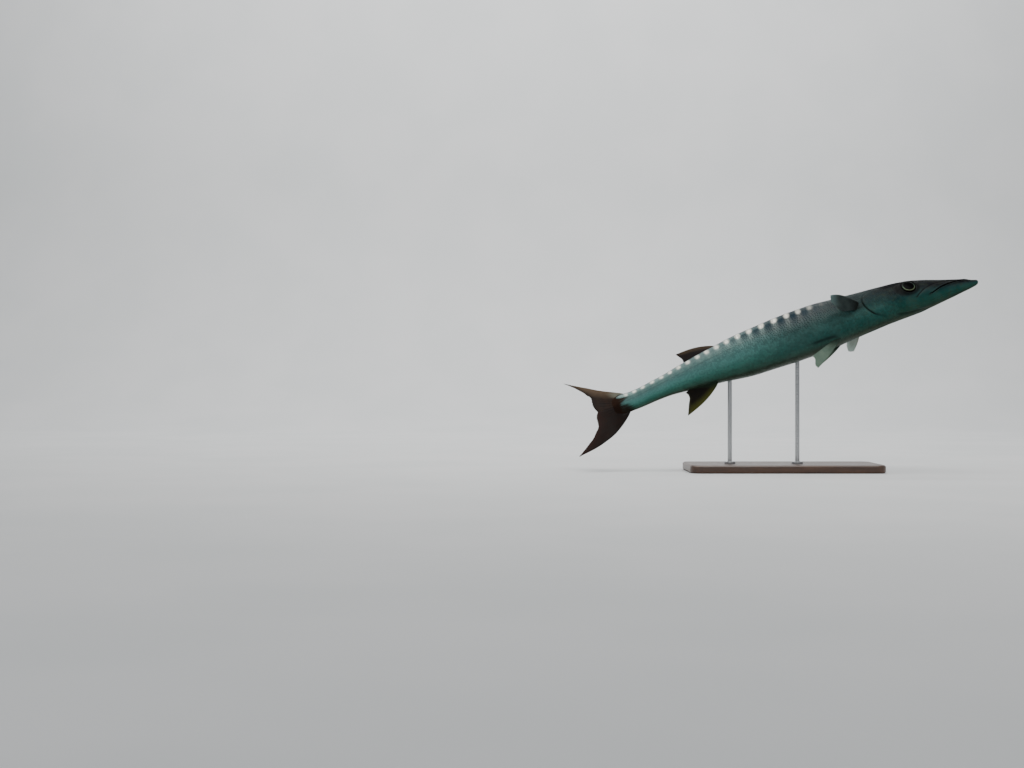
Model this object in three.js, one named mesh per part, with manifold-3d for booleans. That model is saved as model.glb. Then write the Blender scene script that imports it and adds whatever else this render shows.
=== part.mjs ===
// A blackfin barracuda, life size, held banked and nose up on a plain display stand.
// Millimetres, +Z up, nose towards +X. The origin is at the middle of the base's underside.
import * as THREE from 'three'
import { mergeVertices } from 'three/addons/utils/BufferGeometryUtils.js'
import Module from 'manifold-3d'

const wasm = await Module()
wasm.setup()

// Driving dimensions
const standardLength = 870
const gap = 0.3
const bank = THREE.MathUtils.degToRad(33)
const pitch = THREE.MathUtils.degToRad(19.4)
const midBody = new THREE.Vector3(36, 0, 306)

// Stations, as distances back from the tip of the lower jaw
const midStation = standardLength / 2
const mouthEnd = 120
const jawHinge = 176
const eyeStation = 162
const headEnd = 245
const torsoJoint = 440
const vent = 630
const stalkStart = 755

// Relief of the head
const lipHeight = 1.1
const strapHeight = 1.2
const rimHeight = 1.2

// Eye
const eyeHeight = 12
const eyeRadius = 17
const eyeDepth = 11
const corneaBulge = 3.4
const eyeFacing = new THREE.Vector3(0.16, 0.97, 0.15)
const roundSides = 20

// Gill cover
const coverRaise = 1.0
const coverDepth = 2.2
const gillSlit = 2.4

// Fins: thickness at the root and beyond it, and how far each ray stands out of the membrane
const finRoot = 2.2
const tailRootThickness = 4
const membrane = 0.9
const rayHeight = 0.55
const rayFade = 0.75
const tipThinning = 0.35
const rootSunk = 1.5
const raysPerFin = { dorsal: 5, softDorsal: 9, anal: 9, caudal: 9, pectoral: 9, pelvic: 5 }

// Short rays that stand along the edge of the stalk in front of each tail lobe
const shortRayShare = 2 / 9
const shortRayReach = 18

// Stand
const baseSize = new THREE.Vector3(440, 180, 18)
const baseCorner = 22
const baseBevel = 3
const rodRadius = 5
const collarRadius = 13
const collarHeight = 5
const rodStations = [436, 600]

// Smooth curve through hand-placed points that never overshoots them
function smoothThrough(points) {
  const last = points.length - 1
  const slopes = []
  for (let i = 0; i < last; i += 1) {
    slopes.push((points[i + 1][1] - points[i][1]) / (points[i + 1][0] - points[i][0]))
  }
  const tangents = points.map((point, i) => {
    if (i === 0) return slopes[0]
    if (i === last) return slopes[last - 1]
    if (slopes[i - 1] * slopes[i] <= 0) return 0
    return (2 * slopes[i - 1] * slopes[i]) / (slopes[i - 1] + slopes[i])
  })
  return (at) => {
    if (at <= points[0][0]) return points[0][1]
    if (at >= points[last][0]) return points[last][1]
    let i = 0
    while (at > points[i + 1][0]) i += 1
    const width = points[i + 1][0] - points[i][0]
    const t = (at - points[i][0]) / width
    const fromLeft = points[i][1] + tangents[i] * width * t
    const fromRight = points[i + 1][1] - tangents[i + 1] * width * (1 - t)
    const mix = t * t * (3 - 2 * t)
    return fromLeft * (1 - mix) + fromRight * mix
  }
}

// Profiles of the body: back, belly and full width at each station, jaws closed
const backAt = smoothThrough([
  [0, -10], [2, -7], [6, -5.2], [14, -2.9], [22, 1.8], [43, 9], [87, 21.5], [130, 34], [160, 40.5],
  [217, 46.5], [273, 50.5], [330, 54], [409, 58], [522, 55], [635, 44.5], [713, 34.5], [783, 26.5],
  [835, 25], [870, 28.5],
])
const bellyAt = smoothThrough([
  [0, -10], [2, -14.5], [6, -17.5], [14, -20], [43, -25.5], [87, -33], [130, -39.5], [160, -43],
  [217, -45], [273, -49], [330, -55], [409, -61.5], [522, -58.5], [635, -45], [713, -33.5],
  [783, -25.5], [835, -24.5], [870, -28],
])
const widthAt = smoothThrough([
  [0, 0], [2, 7.5], [6, 12], [14, 16], [43, 24], [87, 37], [130, 51], [160, 60], [217, 69], [273, 77],
  [330, 83], [409, 89], [522, 84], [635, 62], [713, 43], [783, 30], [835, 23], [870, 9],
])

// Line of the mouth, and the upper edge of the strap of bone above it
const mouthAt = smoothThrough([
  [0, -4], [18, -2.2], [45, -1.5], [67, -3.2], [81, -6], [92, -9], [104, -13], [120, -18.4], [176, -27],
])
const strapTopAt = smoothThrough([
  [0, -1], [50, 4.5], [90, 5.2], [103, 4], [114, 1], [129, -4], [141, -10.5], [154, -19],
])

// Sideways sweep of the spine: head and tail stalk to the left, the tail fin's end lagging behind
const sweepAt = smoothThrough([
  [0, 11], [60, 6], [140, -1], [260, -7], [340, -11.5], [400, -13.5], [460, -13], [560, -9.5],
  [640, -6], [700, -1], [780, 10], [850, 20], [885, 20], [930, 14], [990, 3],
])

// How boxy each half of a section is: 2 is an ellipse
const upperPowerAt = smoothThrough([[0, 2], [60, 2.3], [155, 2.6], [300, 2.15], [870, 2]])
const lowerPowerAt = smoothThrough([[0, 2], [60, 1.9], [155, 1.95], [300, 2.1], [870, 2]])

function signedPower(value, power) {
  return Math.sign(value) * Math.abs(value) ** power
}

function bell(distance, width) {
  return Math.exp(-((distance / width) ** 2))
}

// The angle round a section at which its side reaches a height, for the side with positive cosine
function angleAtHeight(station, height) {
  const middle = (backAt(station) + bellyAt(station)) / 2
  const half = (backAt(station) - bellyAt(station)) / 2
  const power = height > middle ? upperPowerAt(station) : lowerPowerAt(station)
  const share = THREE.MathUtils.clamp((height - middle) / half, -1, 1)
  return Math.asin(signedPower(share, power / 2))
}

// 1 between two stretches of stations, easing in over the first and out over the second
function between(station, [start, full], [fading, end]) {
  return THREE.MathUtils.smoothstep(station, start, full) - THREE.MathUtils.smoothstep(station, fading, end)
}

// Raised forms of the head: lips along the mouth, the strap of bone above them, a rim round the eye
function headRelief(station, height) {
  const fromMouth = height - mouthAt(station)
  const lipLength = between(station, [20, 34], [108, 124])
  const lip = lipHeight * bell(Math.abs(fromMouth) - 2.4, 1.8) * lipLength
  const strapMiddle = (strapTopAt(station) - mouthAt(station)) / 2
  const strapLength = between(station, [58, 84], [144, 157])
  const strap = strapHeight * bell(fromMouth - strapMiddle, Math.max(strapMiddle, 1)) * strapLength
  const fromEye = Math.hypot(station - eyeStation, height - eyeHeight)
  const rim = rimHeight * bell(fromEye - eyeRadius - 2.5, 3.2)
  return lip + strap + rim
}

// A point of the body before it is swept sideways, swollen outwards by a distance
function bodyPoint(station, angle, swell = 0) {
  const middle = (backAt(station) + bellyAt(station)) / 2
  const tall = (backAt(station) - bellyAt(station)) / 2
  const wide = widthAt(station) / 2
  const power = Math.sin(angle) > 0 ? upperPowerAt(station) : lowerPowerAt(station)
  const y = wide * signedPower(Math.cos(angle), 2 / power)
  const z = tall * signedPower(Math.sin(angle), 2 / power)
  const outward = new THREE.Vector2(y / wide ** 2, z / tall ** 2).normalize()
  const out = swell + (station < headEnd ? headRelief(station, middle + z) : 0)
  return new THREE.Vector3(-station, y + outward.x * out, middle + z + outward.y * out)
}

// A point on the side of the body at a height, side being 1 for left and -1 for right
function flankPoint(station, height, side, swell = 0) {
  const point = bodyPoint(station, angleAtHeight(station, height), swell)
  point.y *= side
  return point
}

function sweep(point) {
  return point.setY(point.y + sweepAt(-point.x))
}

// Even steps from one station to another
function steps(from, to, step) {
  const count = Math.max(1, Math.round((to - from) / step))
  return Array.from({ length: count + 1 }, (unused, i) => from + ((to - from) * i) / count)
}

// Closed geometry from rings of points, each end shut by a fan to its own middle
function loft(rings) {
  const size = rings[0].length
  const points = rings.flat()
  const indices = []
  for (let ring = 0; ring < rings.length - 1; ring += 1) {
    for (let i = 0; i < size; i += 1) {
      const a = ring * size + i
      const b = ring * size + ((i + 1) % size)
      indices.push(a, b, b + size, a, b + size, a + size)
    }
  }
  for (const [ring, flip] of [[0, true], [rings.length - 1, false]]) {
    const middle = new THREE.Vector3()
    rings[ring].forEach((point) => middle.addScaledVector(point, 1 / size))
    points.push(middle)
    for (let i = 0; i < size; i += 1) {
      const a = ring * size + i
      const b = ring * size + ((i + 1) % size)
      indices.push(points.length - 1, flip ? b : a, flip ? a : b)
    }
  }
  return indexedGeometry(points, indices)
}

function indexedGeometry(points, indices) {
  const geometry = new THREE.BufferGeometry()
  const positions = points.flatMap((point) => [point.x, point.y, point.z])
  geometry.setAttribute('position', new THREE.Float32BufferAttribute(positions, 3))
  geometry.setIndex(indices)
  return geometry
}

// Geometry to a solid and back
function toSolid(geometry) {
  const bare = geometry.clone()
  bare.deleteAttribute('normal')
  bare.deleteAttribute('uv')
  const merged = mergeVertices(bare, 1e-4)
  return new wasm.Manifold(new wasm.Mesh({
    numProp: 3,
    vertProperties: new Float32Array(merged.attributes.position.array),
    triVerts: new Uint32Array(merged.index.array),
  }))
}

function toGeometry(solid) {
  const mesh = solid.getMesh()
  const geometry = new THREE.BufferGeometry()
  geometry.setAttribute('position', new THREE.BufferAttribute(new Float32Array(mesh.vertProperties), 3))
  geometry.setIndex(Array.from(mesh.triVerts))
  return geometry
}

// The largest closed surface of a solid, which fills sealed hollows and drops loose scraps
function largest(solid) {
  const pieces = solid.decompose()
  pieces.sort((a, b) => b.volume() - a.volume())
  return pieces[0]
}

// Rings of the body between two stations, with columns gathered at the line of the mouth
const lowerShares = [0, 0.16, 0.32, 0.48, 0.64, 0.78, 0.89, 0.96]
const upperShares = [0, 0.03, 0.08, 0.16, 0.27, 0.39, 0.51, 0.63, 0.75, 0.88]

function headRing(station, swell) {
  const mouthAngle = angleAtHeight(station, mouthAt(station))
  const bottom = -Math.PI / 2
  const top = Math.PI / 2
  const climb = [
    ...lowerShares.map((share) => THREE.MathUtils.lerp(bottom, mouthAngle, share)),
    ...upperShares.map((share) => THREE.MathUtils.lerp(mouthAngle, top, share)),
  ]
  const left = climb.map((angle) => bodyPoint(station, angle, swell))
  const down = [...climb.slice(1), top].reverse()
  const right = down.map((angle) => bodyPoint(station, Math.PI - angle, swell))
  return [...left, ...right]
}

const ringPoints = 36

function trunkRing(station, swell) {
  return Array.from({ length: ringPoints }, (unused, i) => {
    return bodyPoint(station, ((i - ringPoints / 4) * 2 * Math.PI) / ringPoints, swell)
  })
}

// Swept rings for any run of stations
function bodyLoft(stationList, swell = 0) {
  const rings = stationList.map((station) => {
    const ring = station <= headEnd ? headRing(station, swell) : trunkRing(station, swell)
    return ring.map(sweep)
  })
  return loft(rings.map((ring) => [...ring].reverse()))
}

const noseStations = [0.3, 1.2, 2.6, 5, 9, 14, 18, 22]
const headStations = [
  ...noseStations, ...steps(30, 130, 10), ...steps(137, 179, 7), ...steps(190, headEnd, 11),
]

const trunkSpacing = 20

function trunkSolid(from, to) {
  return toSolid(bodyLoft(steps(from + gap, to, trunkSpacing)))
}

// A slab through the body with a side-view outline, between two distances from the middle plane
function sidePrism(outline, near, far) {
  const shape = new THREE.Shape(outline.map(([station, height]) => new THREE.Vector2(-station, height)))
  const slab = new THREE.ExtrudeGeometry(shape, { depth: far - near, bevelEnabled: false })
  slab.rotateX(Math.PI / 2)
  slab.translate(0, far, 0)
  return slab
}

// Gill covers: thin flaps over the rear of the head, their rear edge free over a slit
const coverFront = [[238, 32], [216, 26], [209, 10], [207, -8], [204, -24], [194, -37]]
const coverCorners = 30
const coverRear = [[206, -41], [234, -38], [258, -30], [271, -17], [276, -3], [274, 12], [263, 25]]

const coverPoints = [...coverFront, ...coverRear, coverFront[0]]
const coverCurve = new THREE.SplineCurve(coverPoints.map(([station, height]) => {
  return new THREE.Vector2(station, height)
}))

// The outline grown by the gap in front and by the slit behind, where the cover's edge is free
function coverOutline(front, rear) {
  return steps(0, 1, 1 / coverCorners).slice(0, -1).map((share) => {
    const point = coverCurve.getPointAt(share)
    const tangent = coverCurve.getTangentAt(share)
    const outward = new THREE.Vector2(tangent.y, -tangent.x)
    const backward = THREE.MathUtils.smoothstep(point.x, 232, 258)
    point.addScaledVector(outward, THREE.MathUtils.lerp(front, rear, backward))
    return [point.x, point.y]
  })
}

const coverStations = steps(182, 292, 10)

function shellSolid(swell) {
  return toSolid(loft(coverStations.map((station) => trunkRing(station, swell).map(sweep).reverse())))
}

const coverInside = 7
const coverReach = 60

function mirrored(geometry) {
  const copy = geometry.clone().scale(1, -1, 1)
  const flipped = []
  const index = copy.index ? Array.from(copy.index.array) : steps(0, copy.attributes.position.count - 1, 1)
  for (let i = 0; i < index.length; i += 3) {
    flipped.push(index[i], index[i + 2], index[i + 1])
  }
  copy.setIndex(flipped)
  return copy
}

function onSide(geometry, side) {
  return side > 0 ? geometry : mirrored(geometry)
}

const coverOuter = shellSolid(coverRaise)
const coverInner = shellSolid(-coverDepth)
const recessFloor = shellSolid(-coverDepth - gap)

function gillCover(side) {
  const prism = toSolid(onSide(sidePrism(coverOutline(0, 0), coverInside, coverReach), side))
  return largest(coverOuter.intersect(prism).subtract(coverInner))
}

function gillRecess(side) {
  const outline = coverOutline(gap, gillSlit)
  const prism = toSolid(onSide(sidePrism(outline, coverInside - gap, coverReach), side))
  return prism.subtract(recessFloor)
}

// Eyes: a domed cornea on a round ball, turned to face out of the head
function eyeProfile(grow) {
  const points = []
  const rounds = 5
  for (let i = 0; i <= rounds; i += 1) {
    const turn = ((i / rounds) * Math.PI) / 2
    const out = -(eyeDepth + grow) * Math.cos(turn)
    points.push(new THREE.Vector2((eyeRadius + grow) * Math.sin(turn), out))
  }
  for (let i = 1; i <= rounds; i += 1) {
    const turn = ((i / rounds) * Math.PI) / 2
    const out = (corneaBulge + grow) * Math.sin(turn)
    points.push(new THREE.Vector2((eyeRadius + grow) * Math.cos(turn), out))
  }
  points[0].x = 0
  points[points.length - 1].x = 0
  return points
}

function eyeGeometry(side, grow = 0) {
  const seat = flankPoint(eyeStation, eyeHeight, side)
  const outward = eyeFacing.clone().setY(side * eyeFacing.y).normalize()
  const geometry = new THREE.LatheGeometry(eyeProfile(grow), roundSides)
  const turn = new THREE.Quaternion().setFromUnitVectors(new THREE.Vector3(0, 1, 0), outward)
  geometry.applyQuaternion(turn)
  geometry.translate(seat.x, seat.y, seat.z)
  return sweepGeometry(geometry)
}

function sweepGeometry(geometry) {
  const position = geometry.attributes.position
  const point = new THREE.Vector3()
  for (let i = 0; i < position.count; i += 1) {
    sweep(point.fromBufferAttribute(position, i))
    position.setXYZ(i, point.x, point.y, point.z)
  }
  return geometry
}

// Nostrils: a round front pore and a slit behind it, on each side of the snout
const nostrilDepth = 3
const nostrils = [
  { station: 116, height: 19, along: 1.4, up: 1.4 },
  { station: 124, height: 20.5, along: 2.6, up: 1.2 },
]

function nostril(side, { station, height, along, up }) {
  const seat = flankPoint(station, height, side)
  const geometry = new THREE.SphereGeometry(1, 8, 5)
  geometry.scale(along, nostrilDepth, up)
  geometry.translate(seat.x, seat.y, seat.z)
  return toSolid(sweepGeometry(geometry))
}

// Lower jaw: parted from the head along the mouth, then down behind its hinge
const mouthGap = 0.9
const pastSnout = -10
const underJaw = -80
const pastSide = 100

function jawPrism(grow) {
  const lip = steps(pastSnout, mouthEnd, 8).map((station) => [station, mouthAt(station) + grow])
  const corner = [mouthEnd + 8 + grow, mouthAt(mouthEnd) - 3]
  const outline = [...lip, corner, [jawHinge + grow, underJaw], [pastSnout, underJaw]]
  return toSolid(sidePrism(outline, -pastSide, pastSide))
}

const headWhole = toSolid(bodyLoft(headStations))

function headSolid() {
  let solid = headWhole.subtract(jawPrism(mouthGap))
  for (const side of [1, -1]) {
    solid = solid.subtract(gillRecess(side)).subtract(toSolid(eyeGeometry(side, gap)))
    for (const opening of nostrils) {
      solid = solid.subtract(nostril(side, opening))
    }
  }
  return largest(solid)
}

// Fins: a family of rays from a root line to a margin, the membrane raised into a ridge on each ray
function finSheet({ rays, rows, place, rootThickness = finRoot }) {
  const columns = 2 * rays
  const points = []
  const step = 0.002
  for (const face of [1, -1]) {
    for (let row = 0; row <= rows; row += 1) {
      for (let column = 0; column <= columns; column += 1) {
        const across = column / columns
        const along = row / rows
        const point = place(across, along)
        const towards = place(Math.min(across + step, 1), along)
        const wayAcross = towards.sub(place(Math.max(across - step, 0), along))
        const outer = place(across, Math.min(along + step, 1))
        const wayAlong = outer.sub(place(across, Math.max(along - step, 0)))
        const normal = wayAcross.cross(wayAlong).normalize()
        const ridge = column % 2 === 1 ? rayHeight * (1 - rayFade * along) : 0
        const body = THREE.MathUtils.lerp(rootThickness, membrane, Math.min(along * 3, 1))
        const half = (body * (1 - tipThinning * along)) / 2 + ridge
        points.push(sweep(point.addScaledVector(normal, face * half)))
      }
    }
  }
  const width = columns + 1
  const other = width * (rows + 1)
  const indices = []
  const quad = (a, b, c, d) => indices.push(a, b, c, a, c, d)
  for (let row = 0; row < rows; row += 1) {
    for (let column = 0; column < columns; column += 1) {
      const a = row * width + column
      quad(a, a + 1, a + 1 + width, a + width)
      indices.push(a + other, a + other + 1 + width, a + other + 1)
      indices.push(a + other, a + other + width, a + other + 1 + width)
    }
  }
  for (let column = 0; column < columns; column += 1) {
    const end = rows * width + column
    quad(column, column + other, column + 1 + other, column + 1)
    quad(end, end + 1, end + 1 + other, end + other)
  }
  for (let row = 0; row < rows; row += 1) {
    const start = row * width
    const end = start + columns
    quad(start, start + width, start + width + other, start + other)
    quad(end, end + other, end + width + other, end + width)
  }
  return outwardFacing(indexedGeometry(points, indices))
}

// Turn every triangle over if the surface encloses a negative volume
function outwardFacing(geometry) {
  const position = geometry.attributes.position
  const index = Array.from(geometry.index.array)
  const [a, b, c] = [new THREE.Vector3(), new THREE.Vector3(), new THREE.Vector3()]
  let volume = 0
  for (let i = 0; i < index.length; i += 3) {
    a.fromBufferAttribute(position, index[i])
    b.fromBufferAttribute(position, index[i + 1])
    c.fromBufferAttribute(position, index[i + 2])
    volume += a.dot(b.cross(c))
  }
  if (volume < 0) {
    for (let i = 0; i < index.length; i += 3) {
      [index[i + 1], index[i + 2]] = [index[i + 2], index[i + 1]]
    }
    geometry.setIndex(index)
  }
  return geometry
}

// A ray as a cubic curve from its root to its tip, bowed by the leading edge's bow
function bowedRay(root, tip, bowNear, bowFar, share) {
  const near = root.clone().lerp(tip, 1 / 3).addScaledVector(bowNear, share)
  const far = root.clone().lerp(tip, 2 / 3).addScaledVector(bowFar, share)
  return new THREE.CubicBezierCurve3(root, near, far, tip)
}

// A fin on the back or the belly, standing on the line that the profile gives
function medianFin({ profile, up, from, to, rays, rows, tipAt, lean, bow }) {
  const place = (across, along) => {
    const station = THREE.MathUtils.lerp(from, to, across)
    const root = new THREE.Vector3(-station, 0, profile(station) + up * gap)
    const [back, height] = tipAt(across)
    const tip = new THREE.Vector3(-station - back, lean * (1 - across), root.z + up * height)
    const bowNear = new THREE.Vector3(0, 0, up * bow)
    const bowFar = new THREE.Vector3(0, 0, (up * bow) / 2)
    return bowedRay(root, tip, bowNear, bowFar, (1 - across) ** 2).getPoint(along)
  }
  return finSheet({ rays, rows, place })
}

const foldedDorsal = () => {
  const backwards = smoothThrough([[0, 62], [0.5, 40], [1, 12]])
  const height = smoothThrough([[0, 5.5], [0.5, 4.5], [1, 1.5]])
  return medianFin({
    profile: backAt, up: 1, from: 357, to: 432, rays: raysPerFin.dorsal, rows: 3, lean: 0, bow: 1,
    tipAt: (across) => [backwards(across), height(across)],
  })
}

const softDorsal = () => {
  const backwards = smoothThrough([[0, 95], [0.3, 66], [0.6, 39], [1, 8]])
  const height = smoothThrough([[0, 20], [0.3, 12], [0.6, 6.5], [1, 2]])
  return medianFin({
    profile: backAt, up: 1, from: 614, to: 691, rays: raysPerFin.softDorsal, rows: 5, lean: 0, bow: 13,
    tipAt: (across) => [backwards(across), height(across)],
  })
}

const analFin = () => {
  const backwards = smoothThrough([[0, 94], [0.3, 61], [0.6, 34], [1, 11]])
  const height = smoothThrough([[0, 45], [0.3, 22], [0.6, 10], [1, 3.5]])
  return medianFin({
    profile: bellyAt, up: -1, from: 643, to: 711, rays: raysPerFin.anal, rows: 5, lean: 12, bow: 15,
    tipAt: (across) => [backwards(across), height(across)],
  })
}

// Tail fin: two lobes with a small lobe beside the fork on each, the lower one fuller
const lobes = {
  upper: {
    side: 1,
    edge: backAt,
    margin: [[0, 107, 99], [0.25, 79, 71], [0.5, 65, 51], [0.72, 58, 36], [0.88, 60, 19], [1, 55, 0.4]],
    bowNear: new THREE.Vector3(4, 0, -1),
    bowFar: new THREE.Vector3(3, 0, -3),
  },
  lower: {
    side: -1,
    edge: bellyAt,
    margin: [[0, 133, 103], [0.25, 102, 79], [0.5, 77, 54], [0.72, 64, 32], [0.88, 62, 16], [1, 55, 0]],
    bowNear: new THREE.Vector3(6, 0, 22),
    bowFar: new THREE.Vector3(6, 0, 16),
  },
}

// The root of a tail ray: the first ones stand along the stalk's edge, the rest on its end
function tailRoot(across, side, edge) {
  if (across < shortRayShare) {
    const forward = (1 - THREE.MathUtils.smoothstep(across, 0, shortRayShare)) * shortRayReach
    const station = standardLength - forward
    return new THREE.Vector3(-station - gap, 0, edge(station) + side * gap)
  }
  const down = (across - shortRayShare) / (1 - shortRayShare)
  const height = (edge(standardLength) + side * gap) * (1 - down) + side * gap
  return new THREE.Vector3(-standardLength - gap, 0, height)
}

function tailLobe({ side, edge, margin, bowNear, bowFar }) {
  const back = smoothThrough(margin.map(([across, reach]) => [across, reach]))
  const height = smoothThrough(margin.map(([across, reach, rise]) => [across, rise]))
  const place = (across, along) => {
    const root = tailRoot(across, side, edge)
    const tip = new THREE.Vector3(-standardLength - back(across), 0, side * (gap + height(across)))
    const near = bowNear.clone().setZ(side * bowNear.z)
    const far = bowFar.clone().setZ(side * bowFar.z)
    return bowedRay(root, tip, near, far, (1 - across) ** 2).getPoint(along)
  }
  return finSheet({ rays: raysPerFin.caudal, rows: 7, place, rootThickness: tailRootThickness })
}

// Paired fins: a chord on the flank, and rays that reach out, back and down from it, bowed in front
function pairedFin({ side, from, to, rays, rows, rootHeights, reach, lengthShare }) {
  const place = (across, along) => {
    const station = THREE.MathUtils.lerp(from, to, across)
    const height = THREE.MathUtils.lerp(rootHeights[0], rootHeights[1], across)
    const root = flankPoint(station, height, side, -rootSunk)
    const ray = reach.first.clone().lerp(reach.last, across)
    ray.y *= side
    const tip = root.clone().addScaledVector(ray, lengthShare(across))
    return bowedRay(root, tip, reach.bow, reach.bow, 1 - across).getPoint(along)
  }
  const sheet = toSolid(finSheet({ rays, rows, place }))
  const around = [...steps(250, from - 6, 12), ...steps(from - 3, to + 6, 3), ...steps(to + 14, to + 62, 12)]
  return largest(sheet.subtract(toSolid(bodyLoft(around, gap))))
}

// The right pectoral lies back along the flank and the left one stands out below the belly
const pectoralReach = {
  right: {
    first: new THREE.Vector3(-69, 66, 1),
    last: new THREE.Vector3(-74, 46, -14),
    bow: new THREE.Vector3(0, 0, 15),
  },
  left: {
    first: new THREE.Vector3(-22, 75, -30),
    last: new THREE.Vector3(-52, 60, -22),
    bow: new THREE.Vector3(12, 0, 0),
  },
}

// Both pelvic fins hang down and back, so that from the right one covers the other in part
const pelvicReach = {
  right: {
    first: new THREE.Vector3(-80, 2, -57),
    last: new THREE.Vector3(-91, 4.5, -35),
    bow: new THREE.Vector3(2, 0, -4),
  },
  left: {
    first: new THREE.Vector3(-69, 9.5, -30),
    last: new THREE.Vector3(-64, 13, -5),
    bow: new THREE.Vector3(2, 0, -4),
  },
}

const pectoralFin = (side) => pairedFin({
  side,
  from: 285,
  to: 297,
  rays: raysPerFin.pectoral,
  rows: 5,
  rootHeights: [6, -10],
  reach: side > 0 ? pectoralReach.left : pectoralReach.right,
  lengthShare: smoothThrough([[0, 1], [0.25, 0.97], [0.6, 0.78], [1, 0.5]]),
})

const pelvicFin = (side) => pairedFin({
  side,
  from: 352,
  to: 372,
  rays: raysPerFin.pelvic,
  rows: 5,
  rootHeights: [-54.5, -56],
  reach: side > 0 ? pelvicReach.left : pelvicReach.right,
  lengthShare: smoothThrough([[0, 1], [0.25, 0.94], [0.6, 0.76], [1, 0.66]]),
})

// Stand: a flat base with rounded corners and two short rods cut to the belly's shape
function standBase() {
  const half = baseSize.clone().multiplyScalar(0.5)
  const shape = new THREE.Shape()
  shape.moveTo(-half.x + baseCorner, -half.y)
  shape.lineTo(half.x - baseCorner, -half.y)
  shape.absarc(half.x - baseCorner, -half.y + baseCorner, baseCorner, -Math.PI / 2, 0)
  shape.absarc(half.x - baseCorner, half.y - baseCorner, baseCorner, 0, Math.PI / 2)
  shape.absarc(-half.x + baseCorner, half.y - baseCorner, baseCorner, Math.PI / 2, Math.PI)
  shape.absarc(-half.x + baseCorner, -half.y + baseCorner, baseCorner, Math.PI, 1.5 * Math.PI)
  const slab = new THREE.ExtrudeGeometry(shape, {
    depth: baseSize.z - 2 * baseBevel,
    bevelThickness: baseBevel,
    bevelSize: baseBevel,
    bevelOffset: -baseBevel,
    bevelSegments: 1,
    curveSegments: 5,
  })
  slab.translate(0, 0, baseBevel)
  return slab
}

// The fish's own frame: +X to the nose, +Y to its left, turned and lifted onto the rods
const fish = new THREE.Group()
fish.rotation.order = 'ZYX'
fish.rotation.set(-bank, -pitch, 0)
const middleOffset = new THREE.Vector3(-midStation, 0, 0).applyEuler(fish.rotation)
fish.position.copy(midBody).sub(middleOffset)
fish.updateMatrixWorld(true)

function standRod(station) {
  const foot = new THREE.Vector3(-station, sweepAt(station), 0).applyMatrix4(fish.matrixWorld)
  const bottom = baseSize.z + gap
  const profile = [
    [0, bottom], [collarRadius, bottom], [collarRadius, bottom + collarHeight - 1],
    [collarRadius - 1, bottom + collarHeight], [rodRadius, bottom + collarHeight],
    [rodRadius, foot.z], [0, foot.z],
  ]
  const turned = profile.map(([radius, height]) => new THREE.Vector2(radius, height))
  const rod = new THREE.LatheGeometry(turned, roundSides)
  rod.rotateX(Math.PI / 2)
  rod.translate(foot.x, foot.y, 0)
  const around = bodyLoft(steps(station - 60, station + 60, 12), gap).applyMatrix4(fish.matrixWorld)
  return largest(toSolid(rod).subtract(toSolid(around)))
}

// Materials
const materials = {
  silver: new THREE.MeshStandardMaterial({ color: 0x8d9a98, roughness: 0.35, metalness: 0.45 }),
  darkHead: new THREE.MeshStandardMaterial({ color: 0x59605c, roughness: 0.4, metalness: 0.3 }),
  eye: new THREE.MeshStandardMaterial({ color: 0x14140f, roughness: 0.1, metalness: 0 }),
  darkFin: new THREE.MeshStandardMaterial({ color: 0x2a2521, roughness: 0.5, metalness: 0 }),
  paleFin: new THREE.MeshStandardMaterial({ color: 0xb9b3a0, roughness: 0.45, metalness: 0 }),
  wood: new THREE.MeshStandardMaterial({ color: 0x3c2a1e, roughness: 0.45, metalness: 0 }),
  steel: new THREE.MeshStandardMaterial({ color: 0xb4b6b8, roughness: 0.3, metalness: 1 }),
}

function named(name, shape, material) {
  const geometry = shape.isBufferGeometry ? shape : toGeometry(shape)
  const mesh = new THREE.Mesh(geometry, material)
  mesh.name = name
  return mesh
}

function torsoFront() {
  let solid = trunkSolid(headEnd, torsoJoint)
  for (const side of [1, -1]) {
    solid = solid.subtract(gillRecess(side))
  }
  return largest(solid)
}

fish.add(
  named('head', headSolid(), materials.darkHead),
  named('lower_jaw', largest(headWhole.intersect(jawPrism(0))), materials.darkHead),
  named('torso_front', torsoFront(), materials.silver),
  named('torso_rear', trunkSolid(torsoJoint, vent), materials.silver),
  named('tail_front', trunkSolid(vent, stalkStart), materials.silver),
  named('tail_stalk', trunkSolid(stalkStart, standardLength), materials.silver),
  named('first_dorsal_fin', foldedDorsal(), materials.darkFin),
  named('second_dorsal_fin', softDorsal(), materials.darkFin),
  named('anal_fin', analFin(), materials.darkFin),
  named('tail_fin_upper', tailLobe(lobes.upper), materials.darkFin),
  named('tail_fin_lower', tailLobe(lobes.lower), materials.darkFin),
)
for (const [word, side] of [['left', 1], ['right', -1]]) {
  fish.add(
    named(`eye_${word}`, eyeGeometry(side), materials.eye),
    named(`gill_cover_${word}`, gillCover(side), materials.silver),
    named(`pectoral_fin_${word}`, pectoralFin(side), materials.paleFin),
    named(`pelvic_fin_${word}`, pelvicFin(side), materials.paleFin),
  )
}

const group = new THREE.Group()
group.add(fish)
group.add(named('stand_base', standBase(), materials.wood))
rodStations.forEach((station, i) => {
  const word = ['front', 'rear'][i]
  group.add(named(`stand_rod_${word}`, standRod(station), materials.steel))
})

export default group
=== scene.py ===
# Looks of the blackfin barracuda: skin, scales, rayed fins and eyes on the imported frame, in a pale studio
import math

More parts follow.
